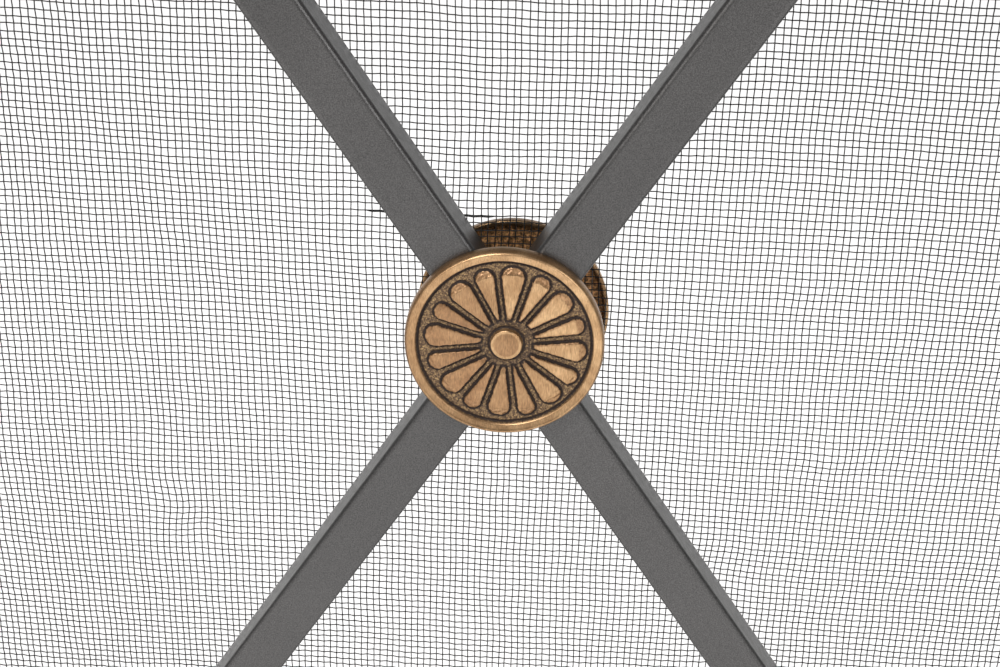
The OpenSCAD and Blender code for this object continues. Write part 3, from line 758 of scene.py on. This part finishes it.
def casting(name, steps, ring_gap, seed, boss_at):
    """A closed rosette mesh whose face looks along +Z and whose back edge lies at z = 0."""
    turn = np.arange(steps) * tau / steps
    face_r = np.concatenate([
        np.arange(1, int(FIELD_R / ring_gap)) * ring_gap,
        np.linspace(FIELD_R - 0.3 * MM, RIDGE_R - 0.12 * MM, 9),
        [RIDGE_R], ROSETTE_R - (ROSETTE_R - RIDGE_R) * np.array([0.8, 0.6, 0.4, 0.22, 0.1, 0.03])])
    face_r = np.unique(np.round(face_r, 7))
    radius, angle = np.meshgrid(face_r, turn, indexing="ij")
    x, y = radius * np.cos(angle), radius * np.sin(angle)
    z, patina_and_shade, field, tone_and_shade = face_relief(x, y, seed)
    back_r = np.array([r for r, _ in BACK_RUN])[:, None]
    back_z = np.repeat(np.array([h for _, h in BACK_RUN])[:, None], steps, axis=1)
    sunk = np.clip(back_z / HOLLOW, 0, 1) * (back_r < ROSETTE_R - EDGE_W * 0.7)
    mottle = 0.2 * np.sin(7 * turn + 40 * back_r / ROSETTE_R) * np.cos(11 * turn)
    shift = boss_at * smooth(0.85 * ROSETTE_R, BOSS_R + 1.2 * MM, back_r)
    x = np.vstack([x, back_r * np.cos(turn) + shift])
    y = np.vstack([y, back_r * np.sin(turn)])
    z = np.vstack([z, back_z])
    patina_and_shade = np.vstack([patina_and_shade, np.clip(0.05 + sunk * (0.12 + mottle), 0, 1)])
    field = np.vstack([field, sunk * 0.3])
    # painted light: the rear hollow gets a high tone, which the brass turns into a brightened, mottled brown
    tone_and_shade = np.vstack([tone_and_shade, np.clip(0.1 + 0.9 * sunk, 0, 1)])
    rows = x.shape[0]
    points = np.column_stack([x.ravel(), y.ravel(), z.ravel()])
    points = np.vstack([points, [0, 0, z[0].mean()], [boss_at, 0, BORE_END]])
    index = np.arange(rows * steps).reshape(rows, steps)
    beside = np.roll(index, -1, axis=1)
    quads = np.stack([index[:-1], index[1:], beside[1:], beside[:-1]], -1).reshape(-1, 4)
    face_pole, back_pole = rows * steps, rows * steps + 1
    caps = [(face_pole, int(a), int(b)) for a, b in zip(index[0], beside[0])]
    caps += [(back_pole, int(b), int(a)) for a, b in zip(index[-1], beside[-1])]
    mesh = bpy.data.meshes.new(name)
    mesh.from_pydata(points.tolist(), [], quads.tolist() + caps)
    for label, values in (("patina_and_shade", patina_and_shade), ("field", field), ("tone_and_shade", tone_and_shade)):
        layer = mesh.attributes.new(label, "FLOAT", "POINT")
        poles = [values[0].mean(), values[-1].mean()]
        layer.data.foreach_set("value", np.append(values.ravel(), poles).astype(np.float32))
    mesh.shade_smooth()
    return mesh


# %% Cast the rosettes
def seated(depth, turned):
    """Places a casting on a panel: its axis along -Y, or along +Y when it is turned round."""
    flip = Matrix.Rotation(radians(-90 if turned else 90), 4, "X")
    return Matrix.Translation((0, depth, 0)) @ flip


def drift_of(panel, side):
    """How far a rosette's middle lies to the right of the spacer's axis on its panel."""
    corners = np.array([v.co for v in frame["nodes"][f"{panel}_{side}_rosette"].data.vertices])
    local = (corners - np.array(PLACE[panel].translation)) @ np.array(PLACE[panel].to_3x3())
    return float((local[:, 0].min() + local[:, 0].max()) / 2)


for seed, panel_name in enumerate(PANELS):
    for side, depth in (("front", FRONT_SEAT), ("rear", REAR_SEAT)):
        steps, ring_gap = FINE if (panel_name, side) == ("centre", "front") else COARSE
        drift = drift_of(panel_name, side)
        cast = casting(f"{panel_name}_{side}", steps, ring_gap,
                       40 + 2 * seed + (side == "rear"), -drift)
        cast.transform(Matrix.Translation((drift, 0, 0)) @ seated(depth, side == "rear"))
        rosette = finished(f"{panel_name}_{side}_casting", cast, panel_name, AGED_BRASS,
                           "aged_brass", f"{panel_name}_{side}_rosette")
        print(f"{rosette.name}: {len(cast.polygons)} faces, drift {1000 * drift:.2f} mm")

# %% [markdown]
# ## Turned feet
# A foot is a brass turning, so it is a lathe shape: a profile swept round an axis. The
# profile is a short list of heights and radii, from the floor up. The rings between are
# filled in straight, and smooth shading lets the ball and the neck flow into each other.

# %% Feet
FOOT_PROFILE = [                 # share of the height, share of the largest radius
    (0.0, 0.78), (0.012, 0.86), (0.05, 0.95), (0.11, 1.0), (0.18, 0.985), (0.25, 0.90),
    (0.29, 0.80), (0.31, 0.80), (0.33, 0.74), (0.44, 0.64), (0.58, 0.615), (0.72, 0.66),
    (0.80, 0.78), (0.82, 0.90), (0.84, 0.94), (0.93, 0.94), (0.95, 0.90), (1.0, 0.90),
]
FOOT_STEPS = 40


# %% Foot mesh
def foot_mesh(height, radius):
    turn = np.arange(FOOT_STEPS) * tau / FOOT_STEPS
    heights, radii = np.array(FOOT_PROFILE).T
    fine = np.unique(np.concatenate([np.linspace(0, 1, 36), heights]))
    wide = np.interp(fine, heights, radii) * radius
    points = [(r * np.cos(t), r * np.sin(t), h * height) for h, r in zip(fine, wide)
              for t in turn]
    n = FOOT_STEPS
    faces = [(k * n + i, k * n + (i + 1) % n, (k + 1) * n + (i + 1) % n, (k + 1) * n + i)
             for k in range(len(fine) - 1) for i in range(n)]
    faces += [tuple(range(n - 1, -1, -1)), tuple(range(len(points) - n, len(points)))]
    return points, faces


# %% Where the feet stand
def loose_parts(node, panel):
    """The vertices of each separate solid of a node, in the panel's own frame."""
    copy = bmesh.new()
    copy.from_mesh(frame["nodes"][node].data)
    bmesh.ops.remove_doubles(copy, verts=copy.verts, dist=1e-6)
    copy.transform(PLACE[panel].inverted())
    parts, seen = [], set()
    for start in copy.verts:
        if start in seen:
            continue
        stack, found = [start], []
        seen.add(start)
        while stack:
            vertex = stack.pop()
            found.append(vertex.co[:])
            for edge in vertex.link_edges:
                other = edge.other_vert(vertex)
                if other not in seen:
                    seen.add(other)
                    stack.append(other)
        parts.append(np.array(found))
    copy.free()
    return parts


for panel_name in PANELS:
    frame_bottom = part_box(panel_name + "_bottom_rail")[0].z
    points, faces = [], []
    for solid in loose_parts(panel_name + "_feet", panel_name):
        low, high = solid.min(0), solid.max(0)
        one_foot, one_faces = foot_mesh(frame_bottom, (high[0] - low[0]) / 2)
        at = ((low[0] + high[0]) / 2, (low[1] + high[1]) / 2, low[2])
        faces += [tuple(i + len(points) for i in face) for face in one_faces]
        points += [tuple(a + b for a, b in zip(point, at)) for point in one_foot]
    feet = bpy.data.meshes.new(panel_name + "_feet")
    feet.from_pydata(points, [], faces)
    feet.shade_smooth()
    finished(panel_name + "_turned_feet", feet, panel_name, AGED_BRASS, "aged_brass",
             panel_name + "_feet")
    print(f"{panel_name}: feet {1000 * frame_bottom:.1f} mm high, {len(faces)} faces")

# %% [markdown]
# ## The floor, the light and the camera
# A pale floor runs on behind the screen, so the wire is seen against it. The light is one
# soft panel overhead and two in front at the sides, as in a small studio. In reflections
# the room round them is dark, which is what draws the dark line along a rounded tube. Where
# the camera looks past the floor it sees a plain pale wall instead.
# The camera looks down on the crossing from a little to the right.

# %% Floor
def make_floor():
    made, tree, shader = material("studio_floor")
    place = add(tree, "ShaderNodeTexCoord").outputs["Object"]
    shade = noise(tree, place, 1.2, 2.0).outputs["Fac"]
    tree.links.new(ramp(tree, shade, (0.2, 0.86), (0.8, 0.90)), shader.inputs["Base Color"])
    shader.inputs["Roughness"].default_value = 0.9
    shader.inputs["Emission Color"].default_value = (1.0, 0.99, 0.98, 1.0)
    shader.inputs["Emission Strength"].default_value = 0.85
    mesh = bpy.data.meshes.new("floor")
    reach = 60.0
    mesh.from_pydata([(-reach, -reach, 0), (reach, -reach, 0), (reach, reach, 0),
                      (-reach, reach, 0)], [], [(0, 1, 2, 3)])
    mesh.materials.append(made)
    floor = bpy.data.objects.new("floor", mesh)
    bpy.context.scene.collection.objects.link(floor)


make_floor()
print("floor laid")

# %% Lights
CROSSING = middle("centre_front_rosette")


def soft_light(name, offset, size, power, colour=(1.0, 1.0, 1.0)):
    """A square panel of light that faces the crossing."""
    lamp = bpy.data.lights.new(name, "AREA")
    lamp.shape, lamp.size, lamp.energy, lamp.color = "SQUARE", size, power, colour
    holder = bpy.data.objects.new(name, lamp)
    holder.location = CROSSING + Vector(offset)
    holder.rotation_euler = (-Vector(offset)).to_track_quat("-Z", "Y").to_euler()
    bpy.context.scene.collection.objects.link(holder)


soft_light("overhead", (-0.55, -1.1, 1.45), 0.7, 22.0)
soft_light("left", (-1.5, -1.4, 0.85), 1.1, 11.0, (1.0, 0.98, 0.95))
soft_light("right", (1.5, -1.4, 0.85), 1.1, 15.0)


print("lights:", ", ".join(lamp.name for lamp in bpy.data.lights))


# %% Room
def make_room():
    """A dark room for the metal to reflect, with a bright low backdrop behind the screen.
    Seen directly, past the object, it is plain and pale all round."""
    room = bpy.data.worlds.new("room")
    room.use_nodes = True
    tree = room.node_tree
    way = add(tree, "ShaderNodeTexCoord").outputs["Generated"]
    axis = add(tree, "ShaderNodeSeparateXYZ", {"Vector": way}).outputs
    behind = ramp(tree, axis["Y"], (0.0, 0.0), (0.35, 1.0))
    low = ramp(tree, axis["Z"], (0.12, 1.0), (0.50, 0.0))
    backdrop = maths(tree, "ShaderNodeMath", "MULTIPLY", behind, low)
    colour = mix(tree, backdrop, (0.085, 0.085, 0.087), (0.95, 0.95, 0.95))
    direct = add(tree, "ShaderNodeLightPath").outputs["Is Camera Ray"]
    colour = mix(tree, direct, colour, (0.90, 0.90, 0.90))
    tree.links.new(colour, tree.nodes["Background"].inputs["Color"])
    bpy.context.scene.world = room


make_room()
bpy.context.scene.view_settings.view_transform = "Standard"
print("room:", bpy.context.scene.world.name)

# %% Camera
CAMERA_OFFSET = Vector((17.7, -437.3, 193.1)) * MM   # from the cloth behind the crossing
CAMERA_DOWN = radians(24.41)
CAMERA_TURN = radians(2.60)
CAMERA_ROLL = radians(0.64)

camera = bpy.data.cameras.new("camera")
camera.lens, camera.sensor_width = 55.7, 36.0
camera.clip_start, camera.clip_end = 0.01, 100.0
eye = bpy.data.objects.new("camera", camera)
cloth_middle = PLACE["centre"] @ Vector((0, CLOTH_Y, 0))
turned = (Matrix.Rotation(CAMERA_TURN, 4, "Z") @ Matrix.Rotation(tau / 4 - CAMERA_DOWN, 4, "X")
          @ Matrix.Rotation(CAMERA_ROLL, 4, "Z"))
eye.matrix_world = Matrix.Translation(cloth_middle + CAMERA_OFFSET) @ turned
bpy.context.scene.collection.objects.link(eye)
bpy.context.scene.camera = eye
print(f"camera {1000 * CAMERA_OFFSET.length:.0f} mm from the cloth")
